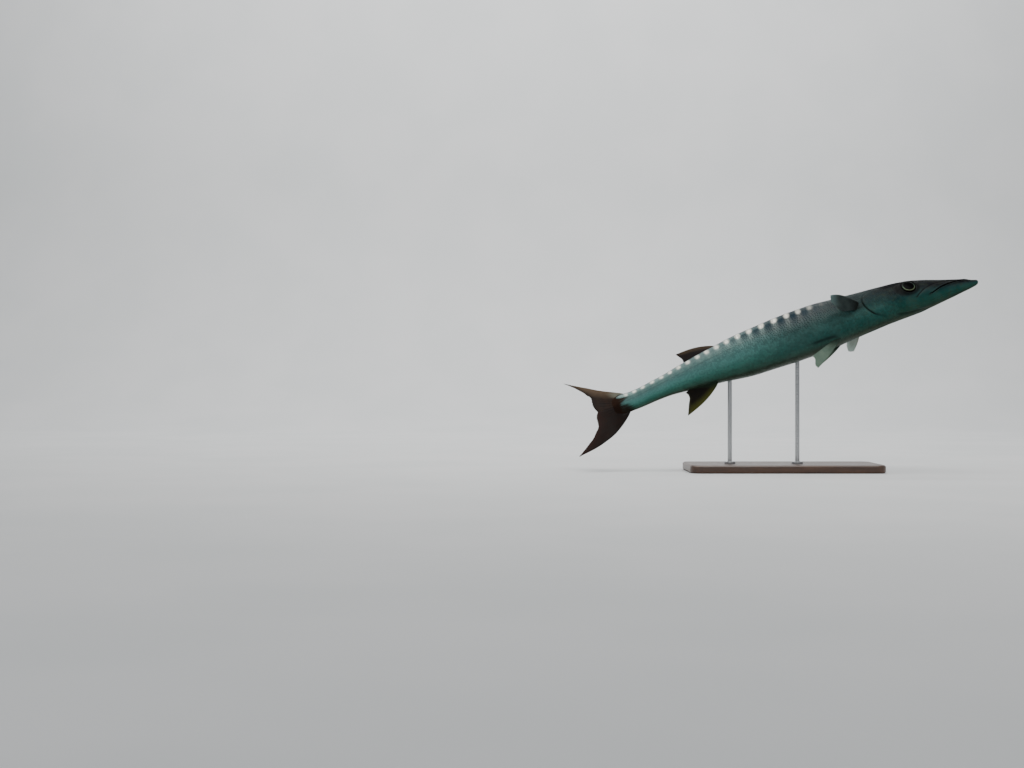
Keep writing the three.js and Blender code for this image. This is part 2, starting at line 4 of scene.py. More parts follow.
import bpy
import numpy as np
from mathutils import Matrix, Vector


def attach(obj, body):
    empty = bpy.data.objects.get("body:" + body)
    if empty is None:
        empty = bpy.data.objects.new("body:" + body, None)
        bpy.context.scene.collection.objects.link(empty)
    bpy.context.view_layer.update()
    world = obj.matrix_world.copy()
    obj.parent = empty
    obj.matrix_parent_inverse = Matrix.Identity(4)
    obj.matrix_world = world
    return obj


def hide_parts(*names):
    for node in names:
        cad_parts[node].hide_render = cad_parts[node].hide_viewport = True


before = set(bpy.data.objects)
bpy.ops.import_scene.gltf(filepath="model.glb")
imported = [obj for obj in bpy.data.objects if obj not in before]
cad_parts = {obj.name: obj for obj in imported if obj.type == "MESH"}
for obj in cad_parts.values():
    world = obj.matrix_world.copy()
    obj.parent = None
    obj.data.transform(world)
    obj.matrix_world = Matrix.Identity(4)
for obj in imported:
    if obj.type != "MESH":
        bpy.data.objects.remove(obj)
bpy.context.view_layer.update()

chance = np.random.default_rng(870)

TURN = 2 * math.pi

# Driving dimensions of the fish: lengths in millimetres and angles in radians
STANDARD_LENGTH = 870.0
BANK = math.radians(33)
PITCH = math.radians(19.4)
MID_BODY = np.array([36.0, 0.0, 306.0])
MOUTH_END = 120.0
EYE_STATION = 162.0
EYE_HEIGHT = 12.0
EYE_RADIUS = 17.0
EYE_DEPTH = 11.0
CORNEA_BULGE = 3.4
EYE_FACING = np.array([0.16, 0.97, 0.15])
TAIL_TONGUE = 16.0
TONGUE_LOWERED = 0.5
TONGUE_NARROWED = 0.72
SKIN_END = STANDARD_LENGTH + TAIL_TONGUE

# Heights and depths of the small forms of the head
LIP_HEIGHT = 1.1
STRAP_HEIGHT = 1.2
STRAP_GROOVE = 0.7
RIM_HEIGHT = 1.2
SOCKET_DEPTH = 5.0
MOUTH_DEPTH = 3.4
NOSTRIL_DEPTH = 1.9
CHEEK_RAISE = 0.7
COVER_RAISE = 1.0
GILL_SLIT_DEPTH = 2.3
JAW_FOLD_DEPTH = 0.9
THROAT_SLIT_DEPTH = 2.0
LINE_RAISE = 0.2

# Fins: thickness, height of the rays, how deep the roots sit, and how finely they are drawn
FIN_ROOT = 2.2
FOLDED_FIN_ROOT = 2.6
TAIL_ROOT = 4.0
MEMBRANE = 0.55
RAY_HEIGHT = 0.32
FOLDED_RAY_HEIGHT = 0.7
PAIRED_ROOT_SUNK = 1.5
MEDIAN_ROOT_SUNK = 2.0
TAIL_ROOT_SUNK = 1.5
TAIL_ROOT_FORWARD = 3.0
FIN_CLEAR = 0.3
FIN_ROWS = 44
COLUMNS_PER_RAY = 10

# Coat of scales, and one scale from its root to its free edge
SCALE_ROWS = 64
SCALE_DEPTH = 0.2
SKIN_INSET = 0.06
FIRST_SCALE = 181.0
LAST_SCALE = 883.0
COLUMN_SPACING = 1.06
SCALE_LENGTH = 1.9
SCALE_BACK = np.array([0.0, 0.42, 0.78, 1.0, 1.0])
SCALE_LIFT = np.array([-0.55, 0.1, 0.75, 1.0, 0.1])
SCALE_ACROSS = np.linspace(-1, 1, 5)
SCALE_POINTS = SCALE_BACK.size * SCALE_ACROSS.size
SCALE_PIECES = [(0, 420), (420, 600), (600, 740), (740, 1000)]

# The map for the bake: the skin's unwrap in the unit square, and small patches for scales and end caps
MAP_MARGIN = 0.02
MAP_SPAN = 0.96
MAP_LENGTH = 890.0
SCALE_PATCH = 0.0028
CAP_PATCH = 0.004


def smooth(t):
    return t * t * (3 - 2 * t)


# From 0 at the start to 1 at the end, slow at both
def ease(value, start, end):
    return smooth(np.clip((value - start) / (end - start), 0, 1))


def fade(value, start, end):
    return 1 - ease(value, start, end)


# 1 from the end of its rise to the start of its fall, and 0 beyond them
def span(value, rise, fall):
    return ease(value, *rise) - ease(value, *fall)


def bell(distance, width):
    return np.exp(-((distance / width) ** 2))


def signed_power(value, power):
    return np.sign(value) * np.abs(value) ** power


# Smooth curve through given points that never overshoots them
def smooth_through(points):
    xs, ys = np.array(points, float).T
    slopes = np.diff(ys) / np.diff(xs)
    tangents = np.empty_like(ys)
    tangents[0], tangents[-1] = slopes[0], slopes[-1]
    before, after = slopes[:-1], slopes[1:]
    same_way = before * after > 0
    total = np.where(same_way, before + after, 1)
    tangents[1:-1] = np.where(same_way, 2 * before * after / total, 0)

    def curve(at):
        at = np.clip(np.asarray(at, float), xs[0], xs[-1])
        i = np.clip(np.searchsorted(xs, at) - 1, 0, len(xs) - 2)
        width = xs[i + 1] - xs[i]
        t = (at - xs[i]) / width
        from_left = ys[i] + tangents[i] * width * t
        from_right = ys[i + 1] - tangents[i + 1] * width * (1 - t)
        return from_left * (1 - smooth(t)) + from_right * smooth(t)

    return curve


# Profiles of the body at each station, a distance back from the tip of the lower jaw
back_at = smooth_through([
    (0, -10), (2, -7), (6, -5.2), (14, -2.9), (22, 1.8), (43, 9), (87, 21.5), (130, 34), (160, 40.5),
    (217, 46.5), (273, 50.5), (330, 54), (409, 58), (522, 55), (635, 44.5), (713, 34.5), (783, 26.5),
    (835, 25), (870, 28.5),
])
belly_at = smooth_through([
    (0, -10), (2, -14.5), (6, -17.5), (14, -20), (43, -25.5), (87, -33), (130, -39.5), (160, -43),
    (217, -45), (273, -49), (330, -55), (409, -61.5), (522, -58.5), (635, -45), (713, -33.5),
    (783, -25.5), (835, -24.5), (870, -28),
])
width_at = smooth_through([
    (0, 0.1), (2, 7.5), (6, 12), (14, 16), (43, 24), (87, 37), (130, 51), (160, 60), (217, 69), (273, 77),
    (330, 83), (409, 89), (522, 84), (635, 62), (713, 43), (783, 30), (835, 23), (870, 9),
])
mouth_at = smooth_through([
    (0, -4), (18, -2.2), (45, -1.5), (67, -3.2), (81, -6), (92, -9), (104, -13), (120, -18.4), (176, -27),
])
strap_top_at = smooth_through([
    (0, -1), (50, 4.5), (90, 5.2), (103, 4), (114, 1), (129, -4), (141, -10.5), (154, -19),
])
sweep_at = smooth_through([
    (0, 11), (60, 6), (140, -1), (260, -7), (340, -11.5), (400, -13.5), (460, -13), (560, -9.5),
    (640, -6), (700, -1), (780, 10), (850, 20), (885, 20), (930, 14), (990, 3),
])
upper_power_at = smooth_through([(0, 2), (60, 2.3), (155, 2.6), (300, 2.15), (870, 2)])
lower_power_at = smooth_through([(0, 2), (60, 1.9), (155, 1.95), (300, 2.1), (870, 2)])

# Heights of the folds under the jaw and of the lateral line, and the station of the cheek's rear edge
jaw_fold_at = smooth_through([(40, -20), (100, -28), (160, -35), (204, -36)])
throat_slit_at = smooth_through([(120, -39), (160, -42), (196, -41.5), (210, -40)])
cheek_edge_at = smooth_through([(-44, 168), (-32, 184), (-16, 195), (0, 198), (14, 195), (26, 188)])
line_height_at = smooth_through([(245, 22), (300, 18), (400, 14), (520, 9), (640, 5), (760, 2), (870, 0)])


# Middle height, half height and half width of a section, drawn in to a tongue on the tail fin
def section_size(station):
    past = np.clip((station - STANDARD_LENGTH) / TAIL_TONGUE, 0, 1)
    middle = (back_at(station) + belly_at(station)) / 2
    tall = (back_at(station) - belly_at(station)) / 2 * (1 - TONGUE_LOWERED * past ** 2)
    wide = width_at(station) / 2 * (1 - TONGUE_NARROWED * past)
    return middle, tall, wide


def section_powers(station, upper):
    return np.where(upper, upper_power_at(station), lower_power_at(station))


# The plain section at an angle round it: how far out and how high it is there, and the way outwards
def section_point(station, angle):
    middle, tall, wide = section_size(station)
    power = section_powers(station, np.sin(angle) > 0)
    y = wide * signed_power(np.cos(angle), 2 / power)
    z = tall * signed_power(np.sin(angle), 2 / power)
    out = np.stack([y / wide ** 2, z / tall ** 2])
    return y, middle + z, out / np.maximum(np.hypot(*out), 1e-9)


def height_at(station, angle):
    return section_point(station, angle)[1]


# The angle round a section at which its side reaches a height
def angle_at_height(station, height):
    middle, tall, _ = section_size(station)
    power = section_powers(station, height > middle)
    share = np.clip((height - middle) / tall, -1, 1)
    return np.arcsin(signed_power(share, power / 2))


# Outline of a gill cover in side view, as (station, height)
COVER_OUTLINE = [
    (238, 32), (216, 26), (209, 10), (207, -8), (204, -24), (194, -37), (206, -41), (234, -38),
    (258, -30), (271, -17), (276, -3), (274, 12), (263, 25),
]
COVER_REGION = (170, 300)
FAR_OUTSIDE = -60.0


def closed_spline(points, per_span):
    a, b, c, d = (np.roll(np.array(points, float), shift, 0)[:, None] for shift in (1, 0, -1, -2))
    t = (np.arange(per_span) / per_span)[:, None]
    curve = b + 0.5 * t * (c - a + t * (2 * a - 5 * b + 4 * c - d + t * (3 * (b - c) + d - a)))
    return curve.reshape(-1, 2)


cover_curve = closed_spline(COVER_OUTLINE, 8)


# Distance to a gill cover's edge, positive inside it, worked out only near the cover
def cover_distance(station, height):
    station, height = np.broadcast_arrays(station, height)
    found = np.full(station.shape, FAR_OUTSIDE)
    near = (station > COVER_REGION[0]) & (station < COVER_REGION[1])
    p = np.stack([station[near], height[near]], -1)[:, None]
    a = cover_curve[None]
    b = np.roll(cover_curve, -1, 0)[None]
    way = b - a
    t = np.clip(((p - a) * way).sum(-1) / (way ** 2).sum(-1), 0, 1)
    gap = np.linalg.norm(p - a - way * t[..., None], axis=-1).min(1)
    above = (a[..., 1] > p[..., 1]) != (b[..., 1] > p[..., 1])
    rise = np.where(way[..., 1] == 0, 1, way[..., 1])
    crossing = a[..., 0] + (p[..., 1] - a[..., 1]) / rise * way[..., 0]
    inside = (above & (p[..., 0] < crossing)).sum(1) % 2 == 1
    found[near] = np.where(inside, gap, -gap)
    return found


# Lips, the strap of the upper jaw, and the rim and socket of the eye, as a height over the plain body
def head_relief(station, height):
    from_mouth = height - mouth_at(station)
    lips = span(station, (20, 34), (108, 124))
    relief = LIP_HEIGHT * bell(np.abs(from_mouth) - 2.4, 1.8) * lips
    strap_middle = (strap_top_at(station) - mouth_at(station)) / 2
    strap = span(station, (58, 84), (144, 157))
    relief += STRAP_HEIGHT * bell(from_mouth - strap_middle, np.maximum(strap_middle, 1)) * strap
    groove = span(station, (40, 62), (150, 158))
    relief -= STRAP_GROOVE * bell(height - strap_top_at(station) - 0.4, 1.0) * groove
    from_eye = np.hypot(station - EYE_STATION, height - EYE_HEIGHT)
    relief += RIM_HEIGHT * bell(from_eye - EYE_RADIUS - 2.5, 3.2)
    relief += 0.5 * bell(from_eye - EYE_RADIUS - 0.9, 0.8)
    return relief - SOCKET_DEPTH * fade(from_eye, EYE_RADIUS - 3, EYE_RADIUS + 0.2)


def mouth_groove(station, height):
    length = span(station, (18, 24), (MOUTH_END - 4, MOUTH_END + 5))
    depth = np.minimum(MOUTH_DEPTH, 0.17 * width_at(station))
    return depth * bell(height - mouth_at(station) - 0.5, 0.75) * length


# Each nostril's station, height, half length and half height
NOSTRILS = [(116, 19, 1.4, 1.4), (124, 20.5, 2.8, 1.3)]


def nostril_pits(station, height):
    pits = 0
    for middle, level, long, tall in NOSTRILS:
        pits = pits + bell(np.hypot((station - middle) / long, (height - level) / tall), 1.0)
    middle, level = NOSTRILS[0][:2]
    rim = bell(np.hypot(station - middle, height - level) - 2.3, 0.7)
    return NOSTRIL_DEPTH * pits - 0.3 * rim


# The cheek's rear edge, the gill cover with its slit, and the folds under the jaw
def gill_relief(station, height):
    cheek = cheek_edge_at(height) - station
    beside = span(height, (-40, -30), (20, 30))
    relief = CHEEK_RAISE * np.where(cheek > 0, bell(cheek, 14), bell(cheek, 1.0)) * beside
    relief -= 0.45 * bell(cheek + 2.2, 1.2) * beside
    inside = cover_distance(station, height)
    rearward = ease(station, 222, 250)
    relief += COVER_RAISE * ease(inside, 0, 1.2) * rearward
    relief += COVER_RAISE * ease(inside, 0, 9) * (1 - rearward) * 0.6
    open_part = 0.4 + 0.6 * span(height, (-40, -26), (10, 28))
    slit = bell(inside + 1.2, 1.0) * ease(station, 226, 250) * open_part
    seam = bell(height + 0.35 * (station - 205) + 14, 1.2) * ease(inside, 3, 8)
    relief -= GILL_SLIT_DEPTH * slit + 0.35 * seam
    jaw_fold = bell(height - jaw_fold_at(station), 1.3) * span(station, (45, 70), (196, 204))
    throat_slit = bell(height - throat_slit_at(station), 1.0) * span(station, (120, 140), (204, 210))
    return relief - JAW_FOLD_DEPTH * jaw_fold - THROAT_SLIT_DEPTH * throat_slit


# The lateral line, from the gill cover to the tail stalk
def lateral_line(station, height, width):
    line = bell(height - line_height_at(station), width)
    return line * ease(station, 245, 262) * fade(station, 846, 866)


# Everything that stands out of the body or is cut into it, as a height over its plain sections
def body_relief(station, height):
    station, height = np.broadcast_arrays(station, height)
    relief = LINE_RAISE * lateral_line(station, height, 1.2)
    head = station < COVER_REGION[1]
    s, h = station[head], height[head]
    relief[head] += head_relief(s, h) - mouth_groove(s, h) - nostril_pits(s, h) + gill_relief(s, h)
    return relief


# Where scales grow, 1 on the trunk, the cheek and the gill cover and 0 on the bare parts
def scaled(station, height):
    bare_top = ease(height, 24, 30) * fade(station, 214, 226)
    bare_throat = fade(height, -38, -33) * fade(station, 203, 216)
    from_eye = np.hypot(station - EYE_STATION, height - EYE_HEIGHT)
    cheek_front = 181 - 0.5 * np.minimum(height + 4, 0) - 10 * ease(height, -4, -20)
    face = ease(station, cheek_front, cheek_front + 14) * ease(from_eye, 25, 33)
    return face * (1 - bare_top) * (1 - bare_throat)


# How far the skin lies under the solids' surface, deeper where scales cover it
def skin_depth(cover):
    return SKIN_INSET + (SCALE_DEPTH - SKIN_INSET) * cover


# A point of the skin in the fish's own frame, lifted outwards by a distance
def skin_point(station, angle, lift):
    y, height, (out_y, out_z) = section_point(station, angle)
    out = lift + body_relief(station, height)
    x = np.broadcast_to(-station, y.shape)
    return np.stack([x, y + out * out_y + sweep_at(station), height + out * out_z], -1)


def rotation_x(angle):
    c, s = math.cos(angle), math.sin(angle)
    return np.array([[1, 0, 0], [0, c, -s], [0, s, c]])


def rotation_y(angle):
    c, s = math.cos(angle), math.sin(angle)
    return np.array([[c, 0, s], [0, 1, 0], [-s, 0, c]])


# The photo's pose: banked about its length, then with the nose up
POSE = rotation_y(-PITCH) @ rotation_x(-BANK)
FISH_ORIGIN = MID_BODY - POSE @ [-STANDARD_LENGTH / 2, 0, 0]


# From the fish's own frame in millimetres to the shared frame in metres
def placed(points):
    return (points.reshape(-1, 3) @ POSE.T + FISH_ORIGIN) / 1000


def add_object(name, data):
    made = bpy.data.objects.new(name, data)
    bpy.context.scene.collection.objects.link(made)
    return made


# A mesh object from points, quads and triangles, with values at its points and a map for the bake
def make_piece(name, points, faces, values, corner_map, material):
    mesh = bpy.data.meshes.new(name)
    mesh.from_pydata(points.tolist(), [], faces)
    for key, value in values.items():
        attribute = mesh.attributes.new(key, "FLOAT", "POINT")
        attribute.data.foreach_set("value", value.astype(np.float32).ravel())
    if corner_map is not None:
        layer = mesh.uv_layers.new(name="OFBake")
        layer.data.foreach_set("uv", corner_map.astype(np.float32).ravel())
    mesh.polygons.foreach_set("use_smooth", np.ones(len(mesh.polygons), bool))
    mesh.materials.append(material)
    piece = add_object(name, mesh)
    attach(piece, "root")
    return piece


# Quads of a grid of points, rows by columns, closed round each row where asked
def grid_faces(rows, columns, start=0, closed=False, flip=False):
    across = columns if closed else columns - 1
    row, column = np.meshgrid(np.arange(rows - 1), np.arange(across), indexing="ij")
    a = start + row * columns + column
    b = start + row * columns + (column + 1) % columns
    quads = np.stack([a, b, b + columns, a + columns], -1).reshape(-1, 4)
    return quads[:, ::-1] if flip else quads


# Share of the way from the middle of the back, 0, to the middle of the belly, 1
def girth_share(angle):
    return 0.5 - np.arcsin(np.sin(angle)) / math.pi


# Count of pale gaps between the bars along the flank, closer together towards the tail
gap_count_at = smooth_through([
    (270, -4), (391, 0), (447, 2), (509, 4), (567, 6), (620, 8), (668, 10), (716, 12), (760, 14),
    (807, 16), (850, 18), (866, 18.7),
])
# Station where the dark tail begins at each girth share, latest near a share of 0.24, where a painted
# highlight along the stalk's top reaches on towards the fin
tail_edge_at = smooth_through([
    (0, 852), (0.16, 860), (0.24, 872), (0.3, 866), (0.38, 848), (0.45, 856), (0.52, 864), (0.6, 852),
    (0.72, 844), (1, 838),
])


# Dark bars over the upper flank and the bright gaps between them, each from 0 to 1. The gaps are the
# flank's silver between the bars and partly a painted highlight of light from above
def bars_and_highlit_gaps(station, girth):
    rearward = ease(station, 500, 660)
    end = fade(station, 840, 864)
    slant = (girth - 0.28) * (1 - rearward)
    wave = 0.5 + 0.5 * np.cos(TURN * (gap_count_at(station) - slant))
    low_end = 0.52 - 0.1 * rearward
    bar = fade(wave, 0.4, 0.95) * fade(girth, low_end - 0.2, low_end)
    bar *= (0.6 - 0.15 * rearward + (0.4 + 0.15 * rearward) * ease(girth, 0.25, 0.33))
    bar *= ease(station, 340, 430) * end * (1 - 0.7 * ease(station, 670, 800))
    patch = ease(girth, 0.12, 0.21) * fade(girth, 0.29, 0.42)
    gap = ease((0.12 + 0.88 * wave) * patch, 0.45 - 0.1 * rearward, 1.0 + 0.1 * rearward)
    faint = 0.03 * wave * span(girth, (0.2, 0.3), (0.4, 0.6))
    return bar, np.maximum(gap, faint) * ease(station, 345, 460) * end


# The dark ring round the eye, and painted shade in the slits of the mouth and throat, the groove over the
# upper jaw and the gill slit, with painted shadow in the pectoral's axil and along the belly under the
# pelvic fins
def eye_ring_and_painted_shade(station, height):
    from_mouth = height - mouth_at(station) - 0.4
    mouth = bell(from_mouth, 1.7) * ease(station, 17, 24) * fade(station, MOUTH_END, MOUTH_END + 12)
    strap = bell(height - strap_top_at(station) - 0.6, 1.7) * span(station, (22, 70), (152, 161))
    around = np.hypot((station - EYE_STATION - 5) / 1.35, height - EYE_HEIGHT + 1)
    orbit = 0.85 - 0.85 * ease(around, EYE_RADIUS + 1.5, EYE_RADIUS + 9)
    slit = bell(cover_distance(station, height) + 1.2, 1.8) * ease(station, 224, 246)
    slit = slit * (0.15 + 0.85 * span(height, (-38, -26), (2, 20)))
    throat_shade = bell(height - throat_slit_at(station), 1.6) * ease(station, 120, 150) * (station < 212)
    axil_shadow = bell(np.hypot((station - 296) / 18, (height + 3) / 9), 1.0)
    keel_shadow = bell(height + 51, 2.6) * span(station, (352, 372), (408, 440))
    return np.maximum.reduce([mouth, strap * 0.9, orbit, slit, throat_shade * 0.35, axil_shadow * 0.9, keel_shadow * 0.7])


# Markings and painted light shared by the skin and the scales, from 0 to 1 apart from the stalk, which ends
# above 1
def markings_and_painted_light(station, angle):
    height = height_at(station, angle)
    girth = girth_share(angle)
    bar, gap = bars_and_highlit_gaps(station, girth)
    crown = ease(height, 14, 28) * fade(station, 208, 270)
    snout = fade(station, 40, 120) * ease(height - mouth_at(station), -4, 1)
    return {
        "station": station / STANDARD_LENGTH,
        "girth": girth,
        "bar": bar,
        "gap": gap,
        "line": lateral_line(station, height, 1.3),
        "dark": eye_ring_and_painted_shade(station, height),
        "crown": np.maximum(crown, snout),
        "stalk": ease(station - tail_edge_at(girth), -16, 14) + 0.7 * ease(station, 866, 882),
    }


def unwrap(station, angle):
    around = (angle + math.pi / 2) / TURN
    return MAP_MARGIN + MAP_SPAN * np.stack([station / MAP_LENGTH, around], -1)


# Columns of points on one side of the skin, below and above the mouth's line, and where they meet behind it
LOW_COLUMNS = 44
HIGH_COLUMNS = 72
SPLIT_BEHIND_HEAD = math.radians(-22)


# Angles of one ring of the skin, from the belly up the left side and down the right
def ring_angles(station):
    gathered = fade(station, 150, 215)
    mouth = angle_at_height(station, mouth_at(station))
    start = mouth * gathered + SPLIT_BEHIND_HEAD * (1 - gathered)
    power = 1 + 0.7 * gathered
    low = np.linspace(0, 1, LOW_COLUMNS + 1)[:-1]
    high = np.linspace(0, 1, HIGH_COLUMNS + 1)
    below = -math.pi / 2 + (start + math.pi / 2) * (1 - (1 - low) ** power)
    above = start + (math.pi / 2 - start) * high ** power
    left = np.concatenate([below, above])
    return np.concatenate([left, math.pi - left[-2:0:-1]])


# The fan that closes one end of the skin, and its patch of the map
def end_cap(ring, middle, centre, flip):
    turn = np.arange(ring.size) / ring.size * TURN
    spot = centre + CAP_PATCH * np.stack([np.cos(turn), np.sin(turn)], -1)
    fan = np.stack([np.full(ring.size, middle), ring, np.roll(ring, -1)], -1)
    patch = np.stack([np.broadcast_to(centre, spot.shape), spot, np.roll(spot, -1, 0)], 1)
    order = [0, 2, 1] if flip else [0, 1, 2]
    return fan[:, order].tolist(), patch[:, order].reshape(-1, 2)


# One skin over the whole body, with rings closest at the head, where the small forms are
def build_skin(material):
    stations = np.concatenate([
        [0.3], np.arange(0.9, 22, 0.7), np.arange(22, 290, 1.1), np.arange(290, SKIN_END, 5), [SKIN_END],
    ])
    angles = np.stack([ring_angles(station) for station in stations])
    rows, columns = angles.shape
    grid = np.broadcast_to(stations[:, None], angles.shape)
    inset = skin_depth(scaled(grid, height_at(grid, angles)))
    points = placed(skin_point(grid, angles, -inset)).reshape(rows, columns, 3)
    values = markings_and_painted_light(grid, angles)
    values["tone"] = np.full(angles.shape, 0.5)
    ends = [0, rows - 1]
    values = {key: np.append(value, value[ends].mean(1)) for key, value in values.items()}
    points = np.concatenate([points.reshape(-1, 3), points[ends].mean(1)])
    quads = grid_faces(rows, columns, closed=True)
    corners = unwrap(grid, angles).reshape(-1, 2)[quads]
    corners[quads[:, 1] % columns == 0, 1:3, 1] += MAP_SPAN
    faces = quads.tolist()
    corner_map = [corners.reshape(-1, 2)]
    for cap, row in enumerate(ends):
        ring = row * columns + np.arange(columns)
        centre = np.array([0.006, 0.01 + 0.9 * cap])
        fan, patch = end_cap(ring, rows * columns + cap, centre, flip=cap == 0)
        faces += fan
        corner_map.append(patch)
    piece = make_piece("skin", points, faces, values, np.concatenate(corner_map), material)
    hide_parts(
        "head", "lower_jaw", "gill_cover_left", "gill_cover_right",
        "torso_front", "torso_rear", "tail_front", "tail_stalk",
    )


# Angles of equal girth shares at any station, from a table over the body
class GirthTable:
    def __init__(self, spacing=4.0, shares=256):
        self.spacing = spacing
        self.shares = shares
        self.stations = np.arange(170, SKIN_END + spacing, spacing)
        fine = np.linspace(-math.pi / 2, 3 * math.pi / 2, 721)
        self.angles = np.empty((len(self.stations), shares + 1))
        self.girths = np.empty(len(self.stations))
        for i, station in enumerate(self.stations):
            y, z, _ = section_point(station, fine)
            length = np.concatenate([[0], np.cumsum(np.hypot(np.diff(y), np.diff(z)))])
            self.girths[i] = length[-1]
            self.angles[i] = np.interp(np.linspace(0, length[-1], shares + 1), length, fine)

    def girth(self, station):
        return np.interp(station, self.stations, self.girths)

    def angle(self, station, share):
        turns = np.floor(share)
        column = (share - turns) * self.shares
        row = np.clip((station - self.stations[0]) / self.spacing, 0, len(self.stations) - 1.001)
        i, j = row.astype(int), np.minimum(column.astype(int), self.shares - 1)
        u, v = row - i, column - j
        top = self.angles[i, j] * (1 - v) + self.angles[i, j + 1] * v
        bottom = self.angles[i + 1, j] * (1 - v) + self.angles[i + 1, j + 1] * v
        return top * (1 - u) + bottom * u + turns * TURN


# Overlapping scales, each a small domed shield with its root sunk and its free rear edge raised
def build_scales(material):
    table = GirthTable()
    columns = [FIRST_SCALE]
    while columns[-1] < LAST_SCALE:
        columns.append(columns[-1] + COLUMN_SPACING * float(table.girth(columns[-1])) / SCALE_ROWS)
    station = np.repeat(columns, SCALE_ROWS)
    shift = 0.5 * (np.repeat(np.arange(len(columns)), SCALE_ROWS) % 2)
    share = (np.tile(np.arange(SCALE_ROWS), len(columns)) + shift + 0.25) / SCALE_ROWS
    pitch = table.girth(station) / SCALE_ROWS
    count = len(station)
    ripple = 0.4 * np.sin(TURN * 5 * share + 0.05 * station)
    ripple += 0.3 * np.sin(TURN * 13 * share - 0.09 * station)
    station = station + (chance.uniform(-0.2, 0.2, count) + ripple) * pitch
    share = share + chance.uniform(-0.1, 0.1, count) / SCALE_ROWS

    across, back = np.meshgrid(SCALE_ACROSS, SCALE_BACK)
    local_back = (back * (1 - 0.3 * across ** 2)).ravel()
    local_across = (across * (0.66 - 0.08 * back ** 2)).ravel()
    local_rise = (SCALE_LIFT[:, None] - 0.22 * across ** 2).ravel()
    local_map = SCALE_PATCH * np.stack([local_back - 0.5, across.ravel() * 0.5], -1)
    point_station = station[:, None] + (local_back - 0.55) * SCALE_LENGTH * pitch[:, None]
    point_angle = table.angle(point_station, share[:, None] + local_across / SCALE_ROWS)

    angle = table.angle(station, share)
    height = height_at(station, angle)
    cover = scaled(station, height)
    inside = cover_distance(station, height)
    clear_of_slit = (inside > 1.0) | (inside < -4.2) | (station < 222)
    keep = (cover > 0.12) & clear_of_slit
    proud = cover * np.clip(pitch / 4.5, 0.5, 1) * chance.uniform(0.8, 1.0, count)
    rises = SCALE_DEPTH * local_rise * proud[:, None] - skin_depth(cover)[:, None]
    tone = chance.uniform(0, 1, count)
    root_map = unwrap(station, (angle + math.pi / 2) % TURN - math.pi / 2)

    quads = grid_faces(SCALE_BACK.size, SCALE_ACROSS.size)
    for number, (start, end) in enumerate(SCALE_PIECES, 1):
        chosen = np.flatnonzero(keep & (station >= start) & (station < end))
        s, t = point_station[chosen], point_angle[chosen]
        points = placed(skin_point(s, t, rises[chosen]))
        faces = (quads + SCALE_POINTS * np.arange(len(chosen))[:, None, None]).reshape(-1, 4)
        values = markings_and_painted_light(s, t)
        values["tone"] = np.repeat(tone[chosen], SCALE_POINTS)
        corners = (root_map[chosen][:, None] + local_map).reshape(-1, 2)[faces.ravel()]
        make_piece(f"scales_{number}", points, faces.tolist(), values, corners, material)


# Height of the ray ridges over a fin, each ray branching once and then again towards the margin
def ray_ridges(across, along, rays):
    q = (across * rays) % 1.0 - 0.5
    first = 0.23 * ease(along, 0.25, 0.85)
    second = 0.11 * ease(along, 0.6, 1.0)
    width = 0.17 - 0.1 * ease(along, 0.2, 1.0)
    ridge = np.zeros_like(q)
    for side in (-1, 1):
        for part in (-1, 1):
            ridge = np.maximum(ridge, bell(q - side * first - part * second, width))
    return ridge


# Curved rays from root to tip, bent by a share of one bow near the root and of another near the tip
def bowed(root, tip, near, far, share, along):
    t = along[..., None]
    first = root + (tip - root) / 3 + near * share[..., None]
    second = root + (tip - root) * 2 / 3 + far * share[..., None]
    return (1 - t) ** 3 * root + 3 * (1 - t) ** 2 * t * first + 3 * (1 - t) * t * t * second + t ** 3 * tip


def unit(way):
    return way / np.maximum(np.linalg.norm(way, axis=-1, keepdims=True), 1e-9)


# Quads of two faces and the four sides between them, turned so that they face outwards
def closed_faces(points, rows, columns):
    size = rows * columns
    grid = np.arange(size).reshape(rows, columns)
    quads = [grid_faces(rows, columns), grid_faces(rows, columns, start=size, flip=True)]
    lines = (grid[0], grid[-1], grid[:, 0], grid[:, -1])
    orders = ([0, 2, 3, 1], [1, 3, 2, 0], [0, 1, 3, 2], [2, 3, 1, 0])
    for line, order in zip(lines, orders):
        a, b = line[:-1], line[1:]
        quads.append(np.stack([a, b, a + size, b + size], -1)[:, order])
    faces = np.concatenate(quads)
    a, b, c, d = points[faces].transpose(1, 0, 2)
    volume = (a * (np.cross(b, c) + np.cross(c, d))).sum()
    return faces[:, ::-1] if volume < 0 else faces


